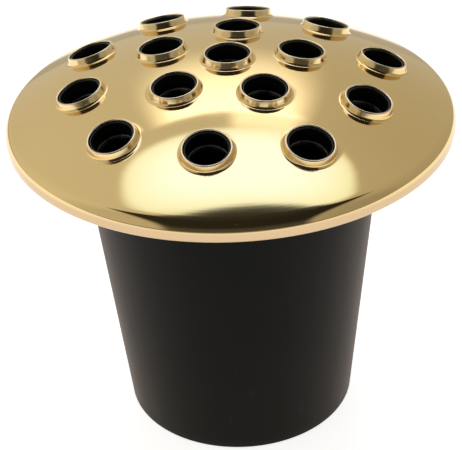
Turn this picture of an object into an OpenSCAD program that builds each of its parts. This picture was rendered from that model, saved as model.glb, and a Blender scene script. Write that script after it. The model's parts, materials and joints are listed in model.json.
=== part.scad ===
// Memorial flower holder: a tapered liner pot under a domed gilt lid with sixteen sleeved stem holes.
// The pot's flange rests on the stone around its hole, and the lid lifts straight off.
// Millimetres, +Z up, origin at the centre of the pot's underside.

/* [Lid] */
// Diameter of the lid over its rolled edge
lid_d = 160; // [158:1:164]
// Radius of the dome's outer surface
dome_r = 177; // [172:1:190]
// Height of the dome's crown above the lid's lower edge
crown_h = 25; // [22:0.5:27]
// Radius of the shoulder that turns the dome down into the rim
shoulder_r = 5; // [4:0.5:6]
// Thickness of the metal sheet
sheet_t = 0.8; // [0.6:0.1:1]
// Radius of the hem rolled inwards along the lower edge
hem_r = 1.1; // [0.9:0.1:1.3]

/* [Stem holes] */
// Inner radius of each raised collar
collar_r = 7.8; // [7:0.1:8]
// Wall thickness of a collar
collar_t = 0.8; // [0.6:0.1:1]
// Height of a collar above the dome
collar_h = 2.5; // [2:0.1:3.2]
// Radius of the fillet between a collar and the dome
fillet_r = 1.4; // [1:0.1:1.6]
// Holes in each of the three rings
ring_count = 5; // [5:1:5]
// Distance from the lid's axis to the inner ring's holes
inner_ring = 26.1; // [25:0.1:27]
// Distance from the lid's axis to the middle ring's holes, which sit between those of the other rings
middle_ring = 52.2; // [51:0.1:53]
// Distance from the lid's axis to the outer ring's holes
outer_ring = 55.6; // [55:0.1:56]

/* [Stem sleeves] */
// Depth of a sleeve's rim below its collar's lip
rim_drop = 0.6; // [0.4:0.1:1]
// Radius of the wide mouth
mouth_r = 7; // [6.6:0.1:7.1]
// Radius of the narrow throat that steadies the stem
throat_r = 6.2; // [5.5:0.1:6.3]
// Depth of the ledge below the collar's lip
ledge_drop = 6.4; // [6:0.1:7]
// Length of a sleeve below the dome's surface
sleeve_depth = 9; // [8:0.5:9.5]
// Radius of the flange that holds a sleeve under the sheet
sleeve_flange_r = 9.2; // [8.8:0.1:9.4]
// Thickness of that flange
sleeve_flange_t = 1.2; // [1:0.1:1.4]

/* [Liner pot] */
// Height of the pot from its underside to the underside of its flange
pot_h = 116; // [100:1:130]
// Outer radius of the pot at its underside
pot_base_r = 43; // [40:0.5:46]
// Outer radius that the straight wall reaches at the flange
pot_top_r = 54.6; // [53:0.1:55]
// Wall thickness
wall_t = 1.8; // [1.5:0.1:2]
// Floor thickness over the recess in the underside
floor_t = 2; // [1.6:0.1:2.4]
// Depth of the recess in the underside
foot_h = 0.8; // [0.5:0.1:1]
// Width of the foot ring around the recess
foot_w = 4; // [3:0.5:6]
// Radius of the outer corner between foot and wall
foot_corner_r = 1.2; // [0.8:0.1:1.5]
// Radius of the inner corner between floor and wall
floor_fillet_r = 4; // [3:0.5:6]
// Radius of the bend between wall and flange, on its underside
mouth_bend_r = 5; // [4:0.5:6]
// Outer radius of the flange
flange_r = 69.3; // [69.3:0.1:71]
// Height of the upstand around the flange
upstand_h = 4; // [3:0.5:4.5]

/* [Seat ring] */
// Clearance between the ring and the pot's upstand
ring_gap = 0.5; // [0.4:0.1:0.8]
// Wall thickness of the ring
ring_t = 2; // [1.6:0.1:2.2]
// Thickness of the pad bonded under the dome
pad_t = 1.5; // [1.2:0.1:1.8]
// Outer radius of the pad
pad_r = 72; // [71:0.5:73]

/* [Hidden] */
$fn = 96;
glue_gap = 0.1;
sleeve_gap = 0.05;
edge_break = 0.3;
arc_steps = 8;

// How far the shoulder stands proud of the dome, as a faint crease
crease_h = 0.06;
// How far the shoulder runs on inside the dome's sheet and inside the skirt
lap = 0.6;
// How far a collar's wall runs on inside the dome's sheet
wall_lap = 0.05;
// How far a collar's fillet runs on inside its wall, is sunk into the dome, and is rooted below its toe
fillet_lap = 0.1;
toe_sink = 0.12;
root_depth = 0.3;
// Depth of the cut that opens each hole, below the dome's surface
cut_depth = 3;

lid_r = lid_d / 2;
dome_centre = [0, pot_h + crown_h - dome_r];
shoulder_centre = [
    lid_r - shoulder_r,
    dome_centre.y + sqrt(pow(dome_r - shoulder_r, 2) - pow(lid_r - shoulder_r, 2)) + crease_h
];
// Where the dome's sheet ends, inside the shoulder
shoulder_start = shoulder_centre + shoulder_r / dome_r * (shoulder_centre - dome_centre);

// Each hole is [distance from the lid's axis, direction]; the pattern is symmetric about the YZ plane
ring_step = 360 / ring_count;
function ring(radius, turn) = [for (k = [0 : ring_count - 1]) [radius, 90 + turn + k * ring_step]];
holes = concat(
    [[0, 90]],
    ring(inner_ring, 0),
    ring(middle_ring, ring_step / 2),
    ring(outer_ring, 0)
);
hole_numbers = [0 : len(holes) - 1];

// Height that a sphere of radius r falls away from its tangent plane at distance x
function fall(r, x) = r - sqrt(r * r - x * x);
function arc(centre, r, from, to) =
    [for (i = [0 : arc_steps]) centre + r * [cos(from + (to - from) * i / arc_steps),
                                             sin(from + (to - from) * i / arc_steps)]];

draft = atan((pot_top_r - pot_base_r) / pot_h);
// Distance from the axis to the line lying inside the pot's outer wall by the given depth
function wall_line(z, depth) = pot_base_r + z * tan(draft) - depth / cos(draft);
flange_top = pot_h + wall_t;
upstand_in_r = flange_r - wall_t;
ring_out_r = upstand_in_r - ring_gap;
ring_in_r = ring_out_r - ring_t;

function sleeve_name(i) = str("stem_sleeve_", i < 9 ? "0" : "", i + 1);

// Half section of a layer of the dome: its depths below the outer surface, and its span from the axis
module dome_layer(from_depth, to_depth, from_r, to_r) {
    intersection() {
        translate(dome_centre)
            difference() {
                circle(r = dome_r - from_depth, $fn = 360);
                circle(r = dome_r - to_depth, $fn = 360);
            }
        translate([from_r, pot_h]) square([to_r - from_r, 2 * crown_h]);
    }
}

// Half section of the sheet: the dome, the shoulder bent down from it, the skirt and the rolled hem
module sheet_section() {
    dome_layer(0, sheet_t, 0, shoulder_start.x);
    intersection() {
        translate(shoulder_centre)
            difference() {
                circle(r = shoulder_r);
                circle(r = shoulder_r - sheet_t);
            }
        translate([shoulder_start.x, shoulder_centre.y] - [lap, lap]) square(2 * shoulder_r);
    }
    translate([lid_r - sheet_t, pot_h + hem_r]) square([sheet_t, shoulder_centre.y - pot_h - hem_r]);
    translate([lid_r - hem_r, pot_h + hem_r]) circle(r = hem_r);
}

// Puts its children on the dome at hole i, with +Z along the dome's normal
module at_hole(i) {
    reach = holes[i][0];
    rotate([0, 0, holes[i][1]])
        translate([reach, 0, pot_h + crown_h - fall(dome_r, reach)])
            rotate([0, asin(reach / dome_r), 0])
                children();
}

// Half section of a drawn collar: straight wall, rounded lip and fillet onto the dome
module collar_section() {
    out_r = collar_r + collar_t;
    toe = -fall(dome_r, out_r + fillet_r) - toe_sink;
    wall_h = sheet_t + wall_lap + collar_h - collar_t / 2;
    translate([collar_r, -sheet_t - wall_lap]) square([collar_t, wall_h]);
    translate([collar_r + collar_t / 2, collar_h - collar_t / 2]) circle(r = collar_t / 2);
    difference() {
        translate([out_r - fillet_lap, toe - root_depth])
            square([fillet_r + fillet_lap, fillet_r + root_depth]);
        translate([out_r + fillet_r, toe + fillet_r]) circle(r = fillet_r);
    }
}

module lid_cover() {
    color("#d9b877") {
        difference() {
            rotate_extrude() sheet_section();
            for (i = hole_numbers)
                at_hole(i)
                    translate([0, 0, -cut_depth])
                        cylinder(r = collar_r + collar_t / 2, h = cut_depth + collar_h);
        }
        for (i = hole_numbers)
            at_hole(i) rotate_extrude() collar_section();
    }
}

module stem_sleeve(i) {
    rim = collar_h - rim_drop;
    ledge = collar_h - ledge_drop;
    ledge_w = mouth_r - throat_r;
    out_r = collar_r - sleeve_gap;
    flange_z = -sheet_t - fall(dome_r - sheet_t, sleeve_flange_r) - glue_gap;
    color("#1b1a19")
        at_hole(i)
            rotate_extrude()
                polygon([
                    [mouth_r + edge_break, rim],
                    [out_r - edge_break / 2, rim],
                    [out_r, rim - edge_break / 2],
                    [out_r, flange_z],
                    [sleeve_flange_r, flange_z],
                    [sleeve_flange_r, flange_z - sleeve_flange_t],
                    [out_r, flange_z - sleeve_flange_t],
                    [out_r, edge_break - sleeve_depth],
                    [out_r - edge_break, -sleeve_depth],
                    [throat_r + edge_break, -sleeve_depth],
                    [throat_r, edge_break - sleeve_depth],
                    [throat_r, ledge - ledge_w],
                    [mouth_r, ledge],
                    [mouth_r, rim - edge_break]
                ]);
}

// A wall that nests inside the pot's upstand, and a pad that follows the underside of the dome
module seat_ring() {
    pad_depth = sheet_t + glue_gap;
    color("#232120")
        rotate_extrude() {
            dome_layer(pad_depth, pad_depth + pad_t, ring_in_r, pad_r);
            intersection() {
                translate(dome_centre) circle(r = dome_r - pad_depth - pad_t / 2, $fn = 360);
                translate([ring_in_r, flange_top]) square([ring_t, crown_h]);
            }
        }
}

module liner_pot() {
    recess_r = pot_base_r - foot_w;
    floor_z = foot_h + floor_t;
    corner = [wall_line(foot_corner_r, foot_corner_r), foot_corner_r];
    bend = [wall_line(pot_h - mouth_bend_r, -mouth_bend_r), pot_h - mouth_bend_r];
    fillet = [wall_line(floor_z + floor_fillet_r, wall_t + floor_fillet_r), floor_z + floor_fillet_r];
    color("#2a2724")
        rotate_extrude()
            polygon(concat(
                [[0, foot_h], [recess_r - foot_h, foot_h], [recess_r, 0]],
                arc(corner, foot_corner_r, -90, -draft),
                arc(bend, mouth_bend_r, 180 - draft, 90),
                [[flange_r - edge_break, pot_h],
                 [flange_r, pot_h + edge_break],
                 [flange_r, flange_top + upstand_h - edge_break],
                 [flange_r - edge_break, flange_top + upstand_h],
                 [upstand_in_r + edge_break, flange_top + upstand_h],
                 [upstand_in_r, flange_top + upstand_h - edge_break],
                 [upstand_in_r, flange_top]],
                arc(bend, mouth_bend_r + wall_t, 90, 180 - draft),
                arc(fillet, floor_fillet_r, -draft, -90),
                [[0, floor_z]]
            ));
}

liner_pot();
seat_ring();
lid_cover();
for (i = hole_numbers)
    stem_sleeve(i);
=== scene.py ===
"""Flower frog: a polished gilt lid with sixteen sleeved stem holes, seated on a black liner pot."""

import json
import logging
import math
from dataclasses import dataclass, field
from enum import Enum
from typing import Any, Optional, Sequence, Union

import bmesh
import bpy
import numpy as np
from mathutils import Matrix, Vector


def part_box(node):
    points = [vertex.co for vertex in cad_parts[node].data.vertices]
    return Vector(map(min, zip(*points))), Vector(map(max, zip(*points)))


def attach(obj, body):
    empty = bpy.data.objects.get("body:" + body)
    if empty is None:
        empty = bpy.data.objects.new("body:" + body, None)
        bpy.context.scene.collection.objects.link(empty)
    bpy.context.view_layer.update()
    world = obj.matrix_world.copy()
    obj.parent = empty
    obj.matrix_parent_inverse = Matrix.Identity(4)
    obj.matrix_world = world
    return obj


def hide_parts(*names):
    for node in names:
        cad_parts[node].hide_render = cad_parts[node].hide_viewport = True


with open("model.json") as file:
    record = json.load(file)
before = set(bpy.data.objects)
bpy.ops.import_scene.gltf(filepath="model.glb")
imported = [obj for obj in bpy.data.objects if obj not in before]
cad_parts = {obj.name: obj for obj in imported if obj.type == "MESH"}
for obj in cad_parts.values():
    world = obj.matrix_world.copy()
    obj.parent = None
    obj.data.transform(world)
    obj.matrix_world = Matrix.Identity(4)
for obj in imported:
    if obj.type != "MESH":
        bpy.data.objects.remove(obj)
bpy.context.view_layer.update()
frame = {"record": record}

LOG = logging.getLogger("flower_frog")
MM = 0.001
WELD = 2e-6
CREASE = math.radians(50)
LEDGE_DEPTH = 3.8 * MM  # depth below the dome's surface of the ledge's middle, where the sleeves' painted highlight band lies

Array = np.ndarray


# --------------------------------------------------------------------------------------------------
# Surfaces
# --------------------------------------------------------------------------------------------------

class Body(Enum):
    """The bodies that the pieces move with."""

    POT = "pot"
    LID = "lid"


def grid_faces(rows: int, columns: int, first: int) -> Array:
    """Quads between neighbouring rows and columns of a grid that closes round on itself.

    Point (i, j) has index first + i * columns + j, and the last column joins the first.

    Args:
        rows: number of rows of points.
        columns: number of points in each row.
        first: index of the grid's first point.

    Returns:
        An array of four point indices per quad.
    """
    i = np.arange(rows - 1)[:, None]
    j = np.arange(columns)[None, :]
    k = (j + 1) % columns
    near, far = i * columns, (i + 1) * columns
    return np.stack([near + j, near + k, far + k, far + j], axis=-1).reshape(-1, 4) + first


def arc(centre: Sequence[float], radius: float, start: float, end: float, steps: int) -> Array:
    """Points of a circular arc: centre + radius * (cos t, sin t), with t running evenly from start to end.

    Args:
        centre: the arc's centre in the half section, as distance from the axis and height.
        radius: the arc's radius.
        start: first angle, in degrees.
        end: last angle, in degrees.
        steps: number of equal steps.

    Returns:
        steps + 1 points of the half section.
    """
    t = np.radians(np.linspace(start, end, steps + 1))
    return np.stack([centre[0] + radius * np.cos(t), centre[1] + radius * np.sin(t)], axis=-1)


def revolve(section: Array, turns: Array, origin: Vector, axis: Vector, outward: Vector) -> Array:
    """Carries a half section round an axis.

    Each (r, h) and angle t gives the point origin + r (cos t X + sin t Y) + h Z.

    Args:
        section: points (r, h), as distance from the axis and height along it.
        turns: the angles t, in radians.
        origin: the point of the axis at height zero.
        axis: unit vector Z.
        outward: unit vector X, square to the axis.

    Returns:
        A grid of points with one row per section point and one column per angle.
    """
    z_dir = np.array(axis)
    x_dir = np.array(outward)
    y_dir = np.cross(z_dir, x_dir)
    ring = np.cos(turns)[:, None] * x_dir + np.sin(turns)[:, None] * y_dir
    return np.array(origin) + section[:, 0, None, None] * ring + section[:, 1, None, None] * z_dir


def full_turn(columns: int) -> Array:
    """Evenly spaced angles once round, starting at 0, in radians."""
    return np.arange(columns) * 2 * math.pi / columns


def revolve_upright(section: Array, turns: Array) -> Array:
    """Carries a half section of (r, z) points round the object's own upright axis."""
    return revolve(section, turns, Vector((0, 0, 0)), Vector((0, 0, 1)), Vector((1, 0, 0)))


def make_piece(name: str, grids: Sequence[Array], finish: "Finish") -> bpy.types.Object:
    """Welds grids of points into one smooth closed mesh object at the origin.

    Args:
        name: the piece's name.
        grids: each grid of points, with rows and columns; its columns close.
        finish: the finish that dresses it.

    Returns:
        The new object.
    """
    points, faces, first = [], [], 0
    for grid in grids:
        rows, columns = grid.shape[:2]
        points.append(grid.reshape(-1, 3))
        faces.append(grid_faces(rows, columns, first))
        first += rows * columns
    mesh = bpy.data.meshes.new(name)
    mesh.from_pydata(np.concatenate(points), [], np.concatenate(faces).tolist())
    shell = bmesh.new()
    shell.from_mesh(mesh)
    bmesh.ops.remove_doubles(shell, verts=shell.verts, dist=WELD)
    bmesh.ops.recalc_face_normals(shell, faces=shell.faces)
    shell.to_mesh(mesh)
    shell.free()
    mesh.shade_smooth()
    mesh.set_sharp_from_angle(angle=CREASE)
    mesh.materials.append(finish.material())
    piece = bpy.data.objects.new(name, mesh)
    bpy.context.scene.collection.objects.link(piece)
    return piece


# --------------------------------------------------------------------------------------------------
# Shader graph
# --------------------------------------------------------------------------------------------------

Input = Union[float, tuple, "Signal", bpy.types.NodeSocket]


class Graph:
    """Adds nodes to one material's or world's node tree."""

    def __init__(self, tree: bpy.types.NodeTree) -> None:
        """Clears the tree and keeps it."""
        self.tree = tree
        tree.nodes.clear()

    def node(self, kind: str, settings: Optional[dict[str, Any]] = None,
             sockets: Optional[dict[Union[int, str], Input]] = None) -> bpy.types.Node:
        """Adds a node, sets its settings and then its sockets' values or links.

        Args:
            kind: the node's type name.
            settings: attribute values.
            sockets: values, signals or sockets by input name or index.

        Returns:
            The new node.
        """
        made = self.tree.nodes.new(kind)
        for key, value in (settings or {}).items():
            setattr(made, key, value)
        for key, value in (sockets or {}).items():
            self.feed(made.inputs[key], value)
        return made

    def feed(self, socket: bpy.types.NodeSocket, value: Input) -> None:
        """Links a signal or socket into an input, or sets the input's own value.

        Args:
            socket: the input.
            value: a signal, a socket or a plain value.
        """
        source = value.socket if isinstance(value, Signal) else value
        if isinstance(source, bpy.types.NodeSocket):
            self.tree.links.new(source, socket)
        else:
            socket.default_value = source

    def signal(self, kind: str, output: Union[int, str], settings: Optional[dict[str, Any]] = None,
               sockets: Optional[dict[Union[int, str], Input]] = None) -> "Signal":
        """Adds a node and returns one of its outputs as a signal.

        Args:
            kind: the node's type name.
            output: the output's name or index.
            settings: as for node.
            sockets: as for node.

        Returns:
            The output.
        """
        return Signal(self, self.node(kind, settings, sockets).outputs[output])

    def step(self, value: Input, start: float, end: float, low: float = 0.0,
             high: float = 1.0) -> "Signal":
        """A smooth step of value: low at start, high at end, with a soft S between them.

        Args:
            value: what is measured.
            start: value at which the result is low.
            end: value at which the result is high.
            low: result at start.
            high: result at end.

        Returns:
            The result.
        """
        return self.signal("ShaderNodeMapRange", 0, {"interpolation_type": "SMOOTHSTEP"},
                           {"Value": value, "From Min": start, "From Max": end,
                            "To Min": low, "To Max": high})

    def noise(self, place: Input, scale: float, detail: float = 3.0,
              roughness: float = 0.55) -> "Signal":
        """Cloudy noise from 0 to 1 at a place.

        Args:
            place: the coordinates.
            scale: features per metre.
            detail: number of finer layers.
            roughness: strength of the finer layers.

        Returns:
            The noise.
        """
        return self.signal("ShaderNodeTexNoise", 0, None,
                           {"Vector": place, "Scale": scale, "Detail": detail, "Roughness": roughness})

    def mix(self, factor: Input, first: Input, second: Input) -> "Signal":
        """A colour between two colours.

        Args:
            factor: 0 for the first, 1 for the second.
            first: the first colour.
            second: the second colour.

        Returns:
            The mixed colour.
        """
        return self.signal("ShaderNodeMix", 2, {"data_type": "RGBA"}, {0: factor, 6: first, 7: second})

    def stretched(self, place: Input, scale: tuple[float, float, float]) -> "Signal":
        """Coordinates scaled by a different amount along each axis.

        Args:
            place: the coordinates.
            scale: the three factors.

        Returns:
            The scaled coordinates.
        """
        return self.signal("ShaderNodeMapping", 0, None, {"Vector": place, "Scale": scale})


class Signal:
    """A node's output, on which arithmetic adds Math nodes."""

    def __init__(self, graph: Graph, socket: bpy.types.NodeSocket) -> None:
        """Keeps the graph and the output socket."""
        self.graph = graph
        self.socket = socket

    def _math(self, operation: str, first: Input, second: Input) -> "Signal":
        """Adds one Math node."""
        return self.graph.signal("ShaderNodeMath", 0, {"operation": operation}, {0: first, 1: second})

    def __add__(self, other: Input) -> "Signal":
        """Sum."""
        return self._math("ADD", self, other)

    __radd__ = __add__

    def __sub__(self, other: Input) -> "Signal":
        """Difference."""
        return self._math("SUBTRACT", self, other)

    def __rsub__(self, other: Input) -> "Signal":
        """Difference, reflected."""
        return self._math("SUBTRACT", other, self)

    def __mul__(self, other: Input) -> "Signal":
        """Product."""
        return self._math("MULTIPLY", self, other)

    __rmul__ = __mul__

    def __truediv__(self, other: Input) -> "Signal":
        """Quotient."""
        return self._math("DIVIDE", self, other)

    def __rtruediv__(self, other: Input) -> "Signal":
        """Quotient, reflected."""
        return self._math("DIVIDE", other, self)

    def __abs__(self) -> "Signal":
        """Size without sign."""
        return self._math("ABSOLUTE", self, 0.0)

    def floored(self, least: float) -> "Signal":
        """The larger of this and a least value."""
        return self._math("MAXIMUM", self, least)

    def __pow__(self, other: Input) -> "Signal":
        """Power."""
        return self._math("POWER", self, other)


def tint(red: float, green: float, blue: float) -> tuple[float, float, float, float]:
    """An opaque colour in linear light."""
    return (red, green, blue, 1.0)


# --------------------------------------------------------------------------------------------------
# Finishes
# --------------------------------------------------------------------------------------------------

@dataclass(frozen=True)
class Finish:
    """A named finish that paints one material; each kind of surface extends paint."""

    name: str
    slot: str

    def material(self) -> bpy.types.Material:
        """Makes the finish's material the first time and finds it afterwards.

        Returns:
            The material.
        """
        made = bpy.data.materials.get(self.name)
        if made is None:
            made = bpy.data.materials.new(self.name)
            made.use_nodes = True
            graph = Graph(made.node_tree)
            shader = graph.node("ShaderNodeBsdfPrincipled")
            place = graph.signal("ShaderNodeTexCoord", "Object")
            self.paint(graph, shader, place)
            graph.node("ShaderNodeOutputMaterial", None, {"Surface": shader.outputs[0]})
        return made

    def paint(self, graph: Graph, shader: bpy.types.Node, place: Signal) -> None:
        """Feeds the shader; each finish has its own.

        Args:
            graph: the material's graph.
            shader: its surface shader.
            place: the object's coordinates.
        """
        raise NotImplementedError

    @staticmethod
    def set_bump(graph: Graph, shader: bpy.types.Node, height: Signal, distance: float,
                 strength: float) -> None:
        """Turns a height into a bump.

        Args:
            graph: the material's graph.
            shader: its surface shader.
            height: the height, from 0 to 1.
            distance: what a height of 1 stands for, in metres.
            strength: how much of the bump is used.
        """
        bump = graph.node("ShaderNodeBump", None,
                          {"Strength": strength, "Distance": distance, "Height": height})
        graph.feed(shader.inputs["Normal"], bump.outputs[0])


@dataclass(frozen=True)
class GiltFinish(Finish):
    """Polished gold-coloured sheet with spin marks, faint ripple, smears, paler rubbed lips and painted shade
    on the skirt.
    """

    gold: tuple[float, float, float, float] = tint(0.86, 0.642, 0.315)
    deep: tuple[float, float, float, float] = tint(0.80, 0.575, 0.25)
    rub_wear_and_painted_highlight: tuple[float, float, float, float] = tint(0.93, 0.79, 0.56)
    # colour of the painted shade on the skirt
    skirt_shade: tuple[float, float, float, float] = tint(0.62, 0.44, 0.26)
    skirt_top: float = 120.5 * MM
    skirt_fade: float = 1.5 * MM
    roughness: float = 0.055
    spin_scale: float = 1400.0
    smear_scale: float = 26.0
    blotch_scale: float = 9.0
    speck_scale: float = 900.0
    ripple_scale: float = 42.0
    relief: float = 0.12 * MM
    dome_centre: tuple[float, float, float] = (0.0, 0.0, 0.0)
    dome_radius: float = 177 * MM
    collar_height: float = 2.5 * MM

    def paint(self, graph: Graph, shader: bpy.types.Node, place: Signal) -> None:
        """Colour, roughness and bump of the sheet.

        Args:
            graph: the material's graph.
            shader: its surface shader.
            place: the object's coordinates.
        """
        from_centre = graph.signal("ShaderNodeVectorMath", 1, {"operation": "DISTANCE"},
                                   {0: place, 1: self.dome_centre})
        height = from_centre - self.dome_radius
        flat = graph.stretched(place, (1.0, 1.0, 0.0))
        reach = graph.signal("ShaderNodeVectorMath", 1, {"operation": "LENGTH"}, {0: flat})
        ring_place = graph.signal("ShaderNodeCombineXYZ", 0, None, {"X": reach})
        spin = graph.noise(ring_place, self.spin_scale, 4.0, 0.7)
        smear = graph.noise(place, self.smear_scale, 4.0, 0.6)
        blotch = graph.noise(place, self.blotch_scale, 2.0)
        speck = graph.noise(place, self.speck_scale, 2.0)
        ripple = graph.noise(place, self.ripple_scale, 1.0)
        edge = graph.step(height, self.collar_height * 0.72, self.collar_height)
        drawn = graph.step(height, 0.2 * MM, 1 * MM)
        tone = graph.mix(graph.step(blotch, 0.35, 0.7), self.gold, self.deep)
        wear_and_highlight_mask = edge * graph.step(speck, 0.2, 0.7, 0.35, 0.9)
        level = graph.signal("ShaderNodeSeparateXYZ", "Z", None, {0: place})
        # Painted shade: the skirt's colour is darkened below skirt_top, evenly towards the hem.
        skirt_shade_mask = graph.step(level, self.skirt_top, self.skirt_top - self.skirt_fade, 0.0, 0.9)
        skin = graph.mix(wear_and_highlight_mask, tone, self.rub_wear_and_painted_highlight)
        graph.feed(shader.inputs["Base Color"], graph.mix(skirt_shade_mask, skin, self.skirt_shade))
        shader.inputs["Metallic"].default_value = 1.0
        rough = (self.roughness + graph.step(smear, 0.5, 0.75) * 0.05 + spin * 0.025
                 + edge * 0.08 + drawn * 0.1 + graph.step(speck, 0.68, 0.8) * 0.06)
        graph.feed(shader.inputs["Roughness"], rough)
        self.set_bump(graph, shader, ripple * 0.8 + spin * 0.06 + speck * 0.02, self.relief, 0.35)


@dataclass(frozen=True)
class MouldedFinish(Finish):
    """Black moulded plastic with a warm cast, fine grain, flow marks, scuffs and a dusty foot."""

    base: tuple[float, float, float, float] = tint(0.0022, 0.0025, 0.0012)
    bloom: tuple[float, float, float, float] = tint(0.0042, 0.0040, 0.0024)
    scuff: tuple[float, float, float, float] = tint(0.035, 0.031, 0.027)
    sheen: tuple[float, float, float, float] = tint(1.0, 0.64, 0.4)
    roughness: float = 0.4
    specular: float = 0.08
    sheen_weight: float = 0.27
    sheen_roughness: float = 0.35
    grain: float = 0.03 * MM
    grain_scale: float = 2600.0
    cloud_scale: float = 14.0
    flow_scale: tuple[float, float, float] = (160.0, 160.0, 14.0)
    mark_scale: tuple[float, float, float] = (420.0, 420.0, 60.0)
    foot_height: float = 6 * MM

    def paint(self, graph: Graph, shader: bpy.types.Node, place: Signal) -> None:
        """Colour, roughness and bump of the plastic.

        Args:
            graph: the material's graph.
            shader: its surface shader.
            place: the object's coordinates.
        """
        height = graph.signal("ShaderNodeSeparateXYZ", "Z", None, {0: place})
        cloud = graph.noise(place, self.cloud_scale, 3.0)
        grain = graph.noise(place, self.grain_scale, 2.0, 0.6)
        flow = graph.noise(graph.stretched(place, self.flow_scale), 1.0, 3.0)
        marks = graph.noise(graph.stretched(place, self.mark_scale), 1.0, 2.0, 0.7)
        foot = graph.step(height, self.foot_height, 0.0)
        rub = graph.step(marks, 0.66, 0.74) * graph.step(cloud, 0.45, 0.65)
        tone = graph.mix(graph.step(cloud, 0.35, 0.7), self.base, self.bloom)
        marked = graph.mix(rub * 0.35 + foot * graph.step(grain, 0.3, 0.7) * 0.4, tone, self.scuff)
        graph.feed(shader.inputs["Base Color"], marked)
        graph.feed(shader.inputs["Roughness"], self.roughness + flow * 0.1 + rub * 0.15 + foot * 0.1)
        shader.inputs["Specular IOR Level"].default_value = self.specular
        shader.inputs["Sheen Weight"].default_value = self.sheen_weight
        shader.inputs["Sheen Roughness"].default_value = self.sheen_roughness
        shader.inputs["Sheen Tint"].default_value = self.sheen
        self.set_bump(graph, shader, grain * 0.7 + flow * 0.3, self.grain, 0.5)


@dataclass(frozen=True)
class SleeveFinish(MouldedFinish):
    """Glossy black plastic with a grey highlight painted on its ledge."""

    # grey of the painted highlight on the ledge
    rub_wear_and_painted_highlight: tuple[float, float, float, float] = tint(0.42, 0.41, 0.40)
    dome_centre: tuple[float, float, float] = (0.0, 0.0, 0.0)
    ledge_radius: float = 173 * MM
    ledge_band: float = 0.4 * MM
    highlight_streak_scale: tuple[float, float, float] = (700.0, 700.0, 90.0)

    def paint(self, graph: Graph, shader: bpy.types.Node, place: Signal) -> None:
        """The moulded plastic with a painted grey highlight band at the ledge's distance from the dome's
        centre.

        Args:
            graph: the material's graph.
            shader: its surface shader.
            place: the object's coordinates.
        """
        super().paint(graph, shader, place)
        black = shader.inputs["Base Color"].links[0].from_socket
        reach = graph.signal("ShaderNodeVectorMath", 1, {"operation": "DISTANCE"},
                             {0: place, 1: self.dome_centre})
        highlight_streak = graph.noise(graph.stretched(place, self.highlight_streak_scale), 1.0, 3.0, 0.7)
        # Painted highlight: a grey band on the ledge, broken up by streaky noise, stands in for the light the
        # ledge catches.
        highlight_band = graph.step(abs(reach - self.ledge_radius), self.ledge_band, 0.0)
        wear_and_highlight_mask = highlight_band * graph.step(highlight_streak, 0.3, 0.6, 0.25, 1.0)
        graph.feed(shader.inputs["Base Color"], graph.mix(wear_and_highlight_mask, black, self.rub_wear_and_painted_highlight))


# --------------------------------------------------------------------------------------------------
# The object's own sub-assemblies
# --------------------------------------------------------------------------------------------------

@dataclass
class Hole:
    """One stem hole: where its axis crosses the dome, and its directions."""

    number: int
    axis: Vector
    seat: Vector
    reach: float
    bearing: float

    @property
    def outward(self) -> Vector:
        """Unit vector square to the axis, pointing down the dome away from the lid's middle."""
        level = Vector((math.cos(self.bearing), math.sin(self.bearing), 0.0))
        return (level - self.axis * level.dot(self.axis)).normalized()


@dataclass
class Dome:
    """The lid's outer sphere, worked out from the frame, and the holes in it."""

    radius: float = 177 * MM
    crown_over_rim: float = 25 * MM
    rim_z: float = field(init=False)
    lid_radius: float = field(init=False)
    centre: Vector = field(init=False)
    holes: list[Hole] = field(init=False)

    def __post_init__(self) -> None:
        """Reads the lid's box and the stem holes' mounts."""
        low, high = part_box("lid_cover")
        self.rim_z = low[2]
        self.lid_radius = (high[0] - low[0]) / 2
        self.centre = Vector((0.0, 0.0, self.rim_z + self.crown_over_rim - self.radius))
        bores = [m for m in frame["record"]["mounts"] if m["name"].startswith("stem_hole_")]
        self.holes = [self._hole(number, Vector(m["axis"]).normalized()) for number, m in enumerate(bores, 1)]

    def _hole(self, number: int, axis: Vector) -> Hole:
        """The hole whose axis passes through the sphere's centre in a direction.

        Args:
            number: the hole's number.
            axis: unit vector along its axis.

        Returns:
            The hole.
        """
        seat = self.centre + self.radius * axis
        reach = math.hypot(axis.x, axis.y) * self.radius
        bearing = math.atan2(axis.y, axis.x) if reach > MM else math.pi / 2
        return Hole(number, axis, seat, reach, bearing)

    def directions(self, reach: Array, bearing: Array) -> Array:
        """Unit vectors from the sphere's centre.

        With q = reach / radius and bearing b, a vector is (q cos b, q sin b, sqrt(1 - q * q)).

        Args:
            reach: distances from the lid's axis.
            bearing: bearings, in radians.

        Returns:
            One vector for each pair.
        """
        level = reach / self.radius
        return np.stack([level * np.cos(bearing), level * np.sin(bearing), np.sqrt(1 - level ** 2)], axis=-1)

    def shell(self, directions: Array, depth: float) -> Array:
        """Points at a depth below the outer surface.

        Args:
            directions: unit vectors from the sphere's centre.
            depth: the depth.

        Returns:
            One point for each direction.
        """
        return np.array(self.centre) + (self.radius - depth) * directions


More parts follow.
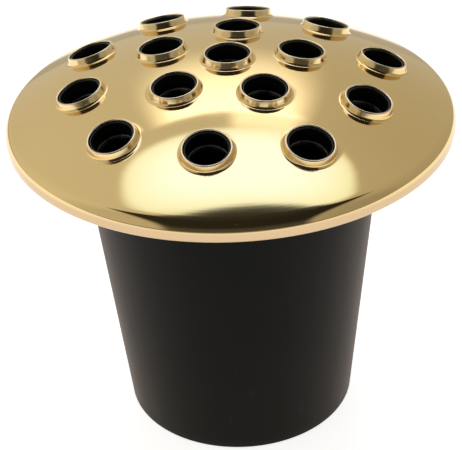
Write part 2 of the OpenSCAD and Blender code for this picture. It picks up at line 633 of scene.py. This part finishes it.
@dataclass
class Patch:
    """The part of the dome that belongs to one hole: a sector between two circles, or the middle disc."""

    inner: float
    outer: float
    bearing: float
    half_angle: float
    arc_steps: int
    side_steps: int

    def outline(self) -> tuple[Array, Array]:
        """Distances from the axis and bearings of the patch's edge, anticlockwise from its outward middle.

        Returns:
            Two arrays of the same length, with no repeated last point.
        """
        if self.inner == 0.0:
            turn = self.bearing + np.arange(self.arc_steps) * 2 * math.pi / self.arc_steps
            return np.full(self.arc_steps, self.outer), turn
        half = self.arc_steps // 2
        swing = np.linspace(-self.half_angle, self.half_angle, self.arc_steps + 1)
        fall = np.linspace(self.outer, self.inner, self.side_steps + 1)
        reach = np.concatenate([np.full(half, self.outer), fall[:-1], np.full(self.arc_steps, self.inner),
                                fall[::-1][:-1], np.full(half, self.outer)])
        turn = np.concatenate([swing[half:-1], np.full(self.side_steps, self.half_angle), swing[::-1][:-1],
                               np.full(self.side_steps, -self.half_angle), swing[:half]])
        return reach, self.bearing + turn


@dataclass
class LidCover:
    """The pressed sheet: dome, drawn collars, shoulder, skirt and rolled hem, as one closed skin."""

    dome: Dome
    finish: Finish
    sheet: float = 0.8 * MM
    shoulder_radius: float = 5 * MM
    hem_radius: float = 1.1 * MM
    collar_radius: float = 7.8 * MM
    collar_wall: float = 0.8 * MM
    collar_height: float = 2.5 * MM
    wall_lean: float = 12.0
    fillet: float = 1.1 * MM
    disc_edge: float = 13 * MM
    ring_edge: float = 39 * MM
    field_edge: float = 68 * MM
    bearing_step: float = math.radians(2)
    side_steps: int = 24
    dome_steps: int = 8

    def patch(self, hole: Hole) -> Patch:
        """The patch around a hole.

        It is the middle disc, a fifth of the inner ring or a tenth of the outer field.

        Args:
            hole: the hole.

        Returns:
            Its patch.
        """
        if hole.reach < self.disc_edge:
            steps = round(2 * math.pi / self.bearing_step)
            return Patch(0.0, self.disc_edge, hole.bearing, math.pi, steps, 0)
        inner_ring = hole.reach < self.ring_edge
        count = 5 if inner_ring else 10
        edges = (self.disc_edge, self.ring_edge) if inner_ring else (self.ring_edge, self.field_edge)
        steps = round(2 * math.pi / count / self.bearing_step)
        return Patch(*edges, hole.bearing, math.pi / count, steps, self.side_steps)

    def collar_section(self) -> Array:
        """Half section of a collar, from its outer toe on the dome over the lip to its inner toe underneath.

        The wall is a cone that leans in towards the lip. The fillet at its foot is an arc that touches the
        dome's sphere and the cone: its centre lies on the cone's line moved out by the fillet's radius, at a
        distance of both radii from the sphere's centre. The bend underneath shares that centre, one sheet
        thickness further out, so that the drawn sheet keeps its thickness.

        Returns:
            Points (r, h) about the hole's axis, with h measured from the dome's surface.
        """
        lean = math.radians(self.wall_lean)
        facing = np.array([math.cos(lean), math.sin(lean)])
        down = np.array([math.sin(lean), -math.cos(lean)])
        lip_r = self.collar_wall / 2
        lip = np.array([self.collar_radius + lip_r, self.collar_height - lip_r])
        start = lip + (lip_r + self.fillet) * facing + (0.0, self.dome.radius)
        reach = self.dome.radius + self.fillet
        half = start @ down
        slide = -half - math.sqrt(half ** 2 - start @ start + reach ** 2)
        if slide < 0:
            slide = -half + math.sqrt(half ** 2 - start @ start + reach ** 2)
        bend = start + slide * down - (0.0, self.dome.radius)
        toe_angle = math.degrees(math.atan2(-(self.dome.radius + bend[1]), -bend[0])) % 360
        wall_angle = 180 + self.wall_lean
        return np.concatenate([
            arc(bend, self.fillet, toe_angle, wall_angle, 7),
            arc(lip, lip_r, self.wall_lean, 180, 8),
            arc(bend, self.fillet + self.sheet, wall_angle, toe_angle, 7),
        ])

    def hole_grid(self, hole: Hole) -> Array:
        """The skin of one patch: dome outside, collar over its lip, and dome underneath.

        Each column starts at a point of the patch's edge, runs across the sphere as a straight blend of
        directions, follows the collar's section and runs back underneath.

        Args:
            hole: the hole that the patch is built around.

        Returns:
            A closed grid of points.
        """
        reach, bearing = self.patch(hole).outline()
        edge = self.dome.directions(reach, bearing)
        outward, axis = hole.outward, hole.axis
        across = axis.cross(outward)
        offset = self.dome.shell(edge, 0.0) - np.array(hole.seat)
        turns = np.arctan2(offset @ np.array(across), offset @ np.array(outward))
        collar = revolve(self.collar_section(), turns, hole.seat, axis, outward)
        blend = (np.arange(self.dome_steps) / self.dome_steps)[:, None, None]
        return np.concatenate([
            self._run(edge, collar[0], blend, 0.0),
            collar,
            self._run(edge, collar[-1], blend, self.sheet)[::-1],
        ])

    def _run(self, edge: Array, toe: Array, blend: Array, depth: float) -> Array:
        """Points on the shell at that depth, from the edge's directions towards the toe's.

        Args:
            edge: unit vectors from the sphere's centre to the patch's edge.
            toe: points of the collar's toe, one for each of them.
            blend: how far along each row lies, from 0 at the edge towards 1 at the toe.
            depth: depth below the outer surface.

        Returns:
            A grid with one row per blend value.
        """
        toe_way = toe - np.array(self.dome.centre)
        toe_way /= np.linalg.norm(toe_way, axis=-1, keepdims=True)
        way = (1 - blend) * edge + blend * toe_way
        return self.dome.shell(way / np.linalg.norm(way, axis=-1, keepdims=True), depth)

    def rim_section(self) -> Array:
        """Half section of the lid's edge, from the outer field over the shoulder and the hem to the inside.

        The shoulder is an arc that touches the dome and the upright skirt; the hem is a bead inside the
        skirt's foot.

        Returns:
            Points (r, z) about the lid's axis.
        """
        dome, lid_r = self.dome, self.dome.lid_radius
        centre_z = dome.centre.z
        bend_r = lid_r - self.shoulder_radius
        bend_z = centre_z + math.sqrt((dome.radius - self.shoulder_radius) ** 2 - bend_r ** 2)
        meet = math.degrees(math.atan2(bend_z - centre_z, bend_r))
        edge = math.degrees(math.acos(self.field_edge / dome.radius))
        hem_centre = (lid_r - self.hem_radius, dome.rim_z + self.hem_radius)
        hem_meet = math.degrees(math.acos((self.hem_radius - self.sheet) / self.hem_radius))
        return np.concatenate([
            arc((0.0, centre_z), dome.radius, edge, meet, 8),
            arc((bend_r, bend_z), self.shoulder_radius, meet, 0, 14)[1:],
            arc(hem_centre, self.hem_radius, 0, hem_meet - 360, 20),
            arc((bend_r, bend_z), self.shoulder_radius - self.sheet, 0, meet, 12),
            arc((0.0, centre_z), dome.radius - self.sheet, meet, edge, 8)[1:],
        ])

    def build(self) -> bpy.types.Object:
        """Makes the cover, rides it on the lid and hides the plain one.

        Returns:
            The cover.
        """
        columns = round(2 * math.pi / self.bearing_step)
        start = self.dome.holes[1].bearing
        turns = start + np.arange(columns) * self.bearing_step
        rim = revolve_upright(self.rim_section(), turns)
        grids = [self.hole_grid(hole) for hole in self.dome.holes] + [rim]
        return mount(make_piece("gilt_cover", grids, self.finish), Body.LID, "lid_cover")


@dataclass
class StemSleeve:
    """One black sleeve: a wide mouth, a ledge, a narrow throat and a flange under the sheet."""

    dome: Dome
    hole: Hole
    finish: Finish
    collar_height: float = 2.5 * MM
    rim_drop: float = 0.6 * MM
    outer: float = 7.75 * MM
    mouth: float = 7.0 * MM
    throat: float = 6.2 * MM
    ledge_drop: float = 6.4 * MM
    depth: float = 9 * MM
    flange: float = 9.2 * MM
    flange_wall: float = 1.2 * MM
    sheet: float = 0.8 * MM
    glue_gap: float = 0.1 * MM
    foot_round: float = 0.4 * MM
    corner_round: float = 0.35 * MM
    columns: int = 64

    def section(self) -> Array:
        """Closed half section of the sleeve with every corner rounded, about the hole's axis.

        Returns:
            Points (r, h), with h measured from the dome's surface.
        """
        rim = self.collar_height - self.rim_drop
        ledge = self.collar_height - self.ledge_drop
        step = self.mouth - self.throat
        inner_sphere = self.dome.radius - self.sheet
        sag = math.sqrt(inner_sphere ** 2 - self.flange ** 2) - inner_sphere
        flange_top = sag - self.sheet - self.glue_gap
        flange_foot = flange_top - self.flange_wall
        lip = (self.outer - self.mouth) / 2
        foot, round_r = self.foot_round, self.corner_round
        return np.concatenate([
            arc((self.mouth + lip, rim - lip), lip, 180, 0, 8),
            arc((self.outer + round_r, flange_top + round_r), round_r, 180, 270, 3),
            arc((self.flange - round_r, flange_top - round_r), round_r, 90, 0, 3),
            arc((self.flange - round_r, flange_foot + round_r), round_r, 0, -90, 3),
            arc((self.outer + round_r, flange_foot - round_r), round_r, 90, 180, 3),
            arc((self.outer - foot, -self.depth + foot), foot, 0, -90, 4),
            arc((self.throat + foot, -self.depth + foot), foot, 270, 180, 4),
            arc((self.throat + round_r, ledge - step - round_r), round_r, 180, 120, 3),
            arc((self.mouth - round_r, ledge + round_r), round_r, -60, 0, 3),
        ])

    def build(self) -> bpy.types.Object:
        """Makes the sleeve and rides it on the lid in place of its plain one.

        Returns:
            The sleeve.
        """
        section = self.section()
        closed = np.concatenate([section, section[:1]])
        grid = revolve(closed, full_turn(self.columns), self.hole.seat, self.hole.axis, self.hole.outward)
        number = f"{self.hole.number:02d}"
        piece = make_piece(f"sleeve_{number}", [grid], self.finish)
        return mount(piece, Body.LID, f"stem_sleeve_{number}")


def mount(piece: bpy.types.Object, body: Body, node: str) -> bpy.types.Object:
    """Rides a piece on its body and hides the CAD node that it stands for.

    Args:
        piece: the finished piece.
        body: the body that it moves with.
        node: the plain node that it replaces.

    Returns:
        The piece.
    """
    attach(piece, body.value)
    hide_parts(node)
    LOG.info("%s on %s for %s: %d faces", piece.name, body.value, node, len(piece.data.polygons))
    return piece


@dataclass
class LinerPot:
    """The moulded pot: foot ring, tapered wall, bend, flange and upstand."""

    finish: Finish
    base_radius: float = 43 * MM
    top_radius: float = 54.6 * MM
    height: float = 116 * MM
    wall: float = 1.8 * MM
    floor: float = 2 * MM
    foot_recess: float = 0.8 * MM
    foot_width: float = 4 * MM
    corner: float = 1.2 * MM
    floor_fillet: float = 4 * MM
    bend: float = 5 * MM
    flange_radius: float = 69.3 * MM
    upstand: float = 4 * MM
    edge_round: float = 0.5 * MM
    gate_radius: float = 2.5 * MM
    gate_round: float = 0.15 * MM
    straight_steps: int = 20
    columns: int = 192

    def section(self) -> Array:
        """Half section of the pot, from the middle of its underside round to the middle of its floor.

        Returns:
            Points (r, z) about the pot's axis.
        """
        draft = math.atan((self.top_radius - self.base_radius) / self.height)
        slope = math.degrees(draft)

        def wall_line(height: float, depth: float) -> float:
            """Distance from the axis to the line at that depth inside the outer wall."""
            return self.base_radius + height * math.tan(draft) - depth / math.cos(draft)

        recess = self.base_radius - self.foot_width
        floor_z = self.foot_recess + self.floor
        bend_z = self.height - self.bend
        bend = (wall_line(bend_z, -self.bend), bend_z)
        fillet_z = floor_z + self.floor_fillet
        fillet = (wall_line(fillet_z, self.wall + self.floor_fillet), fillet_z)
        top = self.height + self.wall + self.upstand
        edge, gate = self.edge_round, self.gate_round
        return np.concatenate([
            [(0.0, self.foot_recess - 2 * gate)],
            arc((self.gate_radius, self.foot_recess - gate), gate, 270, 360, 3),
            [(self.gate_radius + 0.4 * MM, self.foot_recess)],
            arc((recess - 2 * edge, self.foot_recess - edge), edge, 90, 20, 4),
            arc((recess + edge, edge), edge, 200, 270, 4),
            arc((wall_line(self.corner, self.corner), self.corner), self.corner, -90, -slope, 6),
            np.linspace((wall_line(4 * MM, 0.0), 4 * MM),
                        (wall_line(bend_z - 2 * MM, 0.0), bend_z - 2 * MM), self.straight_steps),
            arc(bend, self.bend, 180 - slope, 90, 8),
            arc((self.flange_radius - edge, self.height + edge), edge, -90, 0, 4),
            arc((self.flange_radius - edge, top - edge), edge, 0, 90, 4),
            arc((self.flange_radius - self.wall + edge, top - edge), edge, 90, 180, 4),
            arc((self.flange_radius - self.wall - edge, self.height + self.wall + edge),
                edge, 0, -90, 4),
            arc(bend, self.bend + self.wall, 90, 180 - slope, 10),
            np.linspace((wall_line(bend_z - 2 * MM, self.wall), bend_z - 2 * MM),
                        (wall_line(fillet_z + 2 * MM, self.wall), fillet_z + 2 * MM), self.straight_steps),
            arc(fillet, self.floor_fillet, -slope, -90, 8),
            [(0.0, floor_z)],
        ])

    def build(self) -> bpy.types.Object:
        """Makes the pot in place of its plain one.

        Returns:
            The pot.
        """
        grid = revolve_upright(self.section(), full_turn(self.columns))
        return mount(make_piece("moulded_pot", [grid], self.finish), Body.POT, "liner_pot")


@dataclass
class SeatRing:
    """The ring bonded under the dome: a pad that follows it and a wall that stands on the flange."""

    dome: Dome
    finish: Finish
    outer: float = 67 * MM
    wall: float = 2 * MM
    pad_reach: float = 72 * MM
    pad: float = 1.5 * MM
    sheet: float = 0.8 * MM
    glue_gap: float = 0.1 * MM
    flange_top: float = 117.8 * MM
    edge_round: float = 0.3 * MM
    columns: int = 192

    def section(self) -> Array:
        """Closed half section of the ring with rounded corners.

        Returns:
            Points (r, z) about the lid's axis.
        """
        centre_z = self.dome.centre.z
        top = self.dome.radius - self.sheet - self.glue_gap
        under = top - self.pad
        edge = self.edge_round
        inner = self.outer - self.wall

        def bearing(radius: float, reach: float) -> float:
            """Degrees above the horizontal of a sphere's point at that distance from the axis."""
            return math.degrees(math.acos(reach / radius))

        under_z = centre_z + math.sqrt(under ** 2 - self.outer ** 2)
        return np.concatenate([
            arc((inner + edge, self.flange_top + edge), edge, 180, 270, 3),
            arc((self.outer - edge, self.flange_top + edge), edge, -90, 0, 3),
            arc((self.outer + edge, under_z - 2 * edge), edge, 180, 110, 3),
            arc((0.0, centre_z), under, bearing(under, self.outer + 3 * edge),
                bearing(under, self.pad_reach), 4),
            arc((0.0, centre_z), top, bearing(top, self.pad_reach), bearing(top, inner), 6),
        ])

    def build(self) -> bpy.types.Object:
        """Makes the ring in place of its plain one.

        Returns:
            The ring.
        """
        section = self.section()
        closed = np.concatenate([section, section[:1]])
        grid = revolve_upright(closed, full_turn(self.columns))
        return mount(make_piece("bonded_ring", [grid], self.finish), Body.LID, "seat_ring")


# --------------------------------------------------------------------------------------------------
# Studio
# --------------------------------------------------------------------------------------------------

@dataclass
class Studio:
    """Camera, floor and the surroundings that light the object, all turned to the camera's bearing."""

    rim_z: float
    bearing: float = math.radians(8.8)
    elevation: float = math.radians(28.7)
    distance: float = 554 * MM
    aim_drop: float = 44.0 * MM
    aim_side: float = -1.5 * MM
    lens: float = 120.26
    roll: float = math.radians(-2.6)
    panel_centre: tuple[float, float] = (0.025, 0.41)
    panel_half: tuple[float, float] = (0.455, 0.265)
    panel_power: float = 2.7
    far_fade: tuple[float, float] = (0.62, 1.0)
    near_fade: tuple[float, float] = (-0.6, -1.1)
    floor_reach: float = 6.0
    floor_glow: float = 0.82
    view_depth: float = 50.0
    wall_level: float = 0.6
    wall_slant: float = 0.14
    fan_level: float = 1.5
    bridge_level: float = 0.6
    panel_level: float = 1.5
    core_level: float = 0.8
    shade_slant: tuple[float, float] = (0.17, 0.07)
    shade_reach: tuple[float, float] = (0.5, 0.6)
    shade_depth: tuple[float, float] = (0.84, 0.95)

    @property
    def forward(self) -> Vector:
        """Level unit vector from the camera towards the object."""
        return Vector((-math.sin(self.bearing), math.cos(self.bearing), 0.0))

    @property
    def side(self) -> Vector:
        """Level unit vector towards the camera's right."""
        return Vector((math.cos(self.bearing), math.sin(self.bearing), 0.0))

    def place_camera(self) -> None:
        """Makes the camera and gives it to the scene."""
        data = bpy.data.cameras.new("camera")
        data.lens = self.lens
        data.clip_end = self.view_depth
        camera = bpy.data.objects.new("camera", data)
        rim = Vector((0, 0, self.rim_z))
        level = self.distance * math.cos(self.elevation)
        spot = rim - level * self.forward + Vector((0, 0, self.distance * math.sin(self.elevation)))
        aim = rim + self.aim_side * self.side - Vector((0, 0, self.aim_drop))
        look = (aim - spot).normalized()
        right = look.cross(Vector((0, 0, 1))).normalized()
        up = right.cross(look)
        right, up = (right * math.cos(self.roll) + up * math.sin(self.roll),
                     up * math.cos(self.roll) - right * math.sin(self.roll))
        turn = Matrix((right, up, -look)).transposed().to_4x4()
        camera.matrix_world = Matrix.Translation(spot) @ turn
        bpy.context.scene.collection.objects.link(camera)
        bpy.context.scene.camera = camera

    def lay_floor(self) -> None:
        """A pale floor that dims far behind the object and far in front of it."""
        mesh = bpy.data.meshes.new("floor")
        reach = self.floor_reach
        corners = [(-reach, -reach, 0), (reach, -reach, 0), (reach, reach, 0), (-reach, reach, 0)]
        mesh.from_pydata(corners, [], [(0, 1, 2, 3)])
        floor = bpy.data.objects.new("floor", mesh)
        bpy.context.scene.collection.objects.link(floor)
        paint = bpy.data.materials.new("pale_floor")
        paint.use_nodes = True
        graph = Graph(paint.node_tree)
        place = graph.signal("ShaderNodeTexCoord", "Object")
        ahead = graph.signal("ShaderNodeVectorMath", 1, {"operation": "DOT_PRODUCT"},
                             {0: place, 1: tuple(self.forward)})
        far = graph.step(ahead, *self.far_fade)
        near = graph.step(ahead, *self.near_fade)
        far_glow = graph.mix(far, tint(1.0, 1.0, 1.0), tint(0.42, 0.4, 0.34))
        far_paper = graph.mix(far, tint(0.86, 0.86, 0.86), tint(0.3, 0.3, 0.28))
        glow = graph.mix(near, far_glow, tint(0.1, 0.09, 0.08))
        paper = graph.mix(near, far_paper, tint(0.3, 0.29, 0.28))
        shader = graph.node("ShaderNodeBsdfPrincipled", None, {
            "Base Color": paper, "Roughness": 0.9, "Specular IOR Level": 0.0,
            "Emission Color": glow, "Emission Strength": self.floor_glow})
        graph.node("ShaderNodeOutputMaterial", None, {"Surface": shader.outputs[0]})
        mesh.materials.append(paint)

    def paint_world(self) -> None:
        """Surroundings by direction: mid walls, a softbox overhead, a glow behind and a dark near side.

        Directions over the horizon are laid out on a ceiling plane, where u = right / rise and
        v = ahead / rise, so the softbox is a rounded panel there: it is lit where |x| ** k + |y| ** k < 1
        for u and v scaled to its size. The glow is a fan that brightens with height up to the edge of a
        second panel and widens as it rises. The dark side lies below the softbox's near edge.
        """
        world = bpy.data.worlds.new("studio")
        bpy.context.scene.world = world
        world.use_nodes = True
        graph = Graph(world.node_tree)
        way = graph.signal("ShaderNodeTexCoord", "Generated")
        ahead = graph.signal("ShaderNodeVectorMath", 1, {"operation": "DOT_PRODUCT"},
                             {0: way, 1: tuple(self.forward)})
        right = graph.signal("ShaderNodeVectorMath", 1, {"operation": "DOT_PRODUCT"},
                             {0: way, 1: tuple(self.side)})
        rise = graph.signal("ShaderNodeSeparateXYZ", "Z", None, {0: way}).floored(0.01)
        across = (right / rise - self.panel_centre[0]) / self.panel_half[0]
        along = (ahead / rise - self.panel_centre[1]) / self.panel_half[1]
        spread = abs(across) ** self.panel_power + abs(along) ** self.panel_power
        panel = graph.step(spread, 0.82, 1.2, 1.0, 0.0)
        core = graph.step(spread, 0.0, 0.9, 1.0, 0.0)
        aside = right / ahead.floored(0.05)
        fan = (graph.step(abs(aside) - 0.42 * rise, -0.1, 0.12, 1.0, 0.0)
               * graph.step(rise, 0.755, 0.772, 1.0, 0.0))
        bridge = (graph.step(aside, -0.04, 0.06) * graph.step(aside, 0.3, 0.42, 1.0, 0.0)
                  * graph.step(rise, 0.74, 0.77) * graph.step(rise, 0.8, 0.86, 1.0, 0.0))
        glow = fan * graph.step(rise, 0.3, 0.78) * graph.step(ahead, 0.0, 0.2) + bridge * self.bridge_level
        over = ahead - self.shade_slant[0] * rise - self.shade_slant[1] * right
        shade = (graph.step(over, 0.01, -0.01)
                 * graph.step(abs(right - 0.01), *self.shade_reach, 1.0, 0.0)
                 * graph.step(rise, 0.15, 0.6, *self.shade_depth))
        behind = graph.step(ahead, 0.1, -0.3, 1.0, 0.8)
        walls = (self.wall_level - self.wall_slant * right) * behind
        light = graph.mix(core, tint(0.77, 0.92, 1.0), tint(0.64, 0.68, 1.0))
        tone = graph.mix(panel, graph.mix(glow, tint(1.0, 0.97, 0.85), tint(0.9, 0.93, 1.0)), light)
        level = ((walls + glow * self.fan_level) * (1.0 - panel)
                 + panel * (self.panel_level + core * self.core_level))
        background = graph.node("ShaderNodeBackground", None,
                                {"Color": tone, "Strength": level * (1.0 - shade)})
        graph.node("ShaderNodeOutputWorld", None, {"Surface": background.outputs[0]})

    def build(self) -> None:
        """Sets up the whole studio."""
        self.place_camera()
        self.lay_floor()
        self.paint_world()
        bpy.context.scene.view_settings.view_transform = "Standard"


def main() -> None:
    """Builds the object and its studio."""
    logging.basicConfig(level=logging.INFO, format="%(name)s: %(message)s")
    dome = Dome()
    Studio(rim_z=dome.rim_z).build()
    centre = tuple(dome.centre)
    gilt = GiltFinish("polished_gilt", "lid_gold", dome_centre=centre, dome_radius=dome.radius)
    pot_black = MouldedFinish("pot_plastic", "pot_black")
    ring_black = MouldedFinish("ring_plastic", "ring_black", roughness=0.5)
    sleeve_black = SleeveFinish(
        "sleeve_plastic", "sleeve_black", base=tint(0.004, 0.0038, 0.0036),
        bloom=tint(0.007, 0.0065, 0.006), roughness=0.3, specular=0.3, sheen_weight=0.0,
        grain=0.01 * MM, dome_centre=centre, ledge_radius=dome.radius - LEDGE_DEPTH)
    LidCover(dome, gilt).build()
    for hole in dome.holes:
        StemSleeve(dome, hole, sleeve_black).build()
    LinerPot(pot_black).build()
    SeatRing(dome, ring_black).build()


if __name__ == "__main__":
    main()
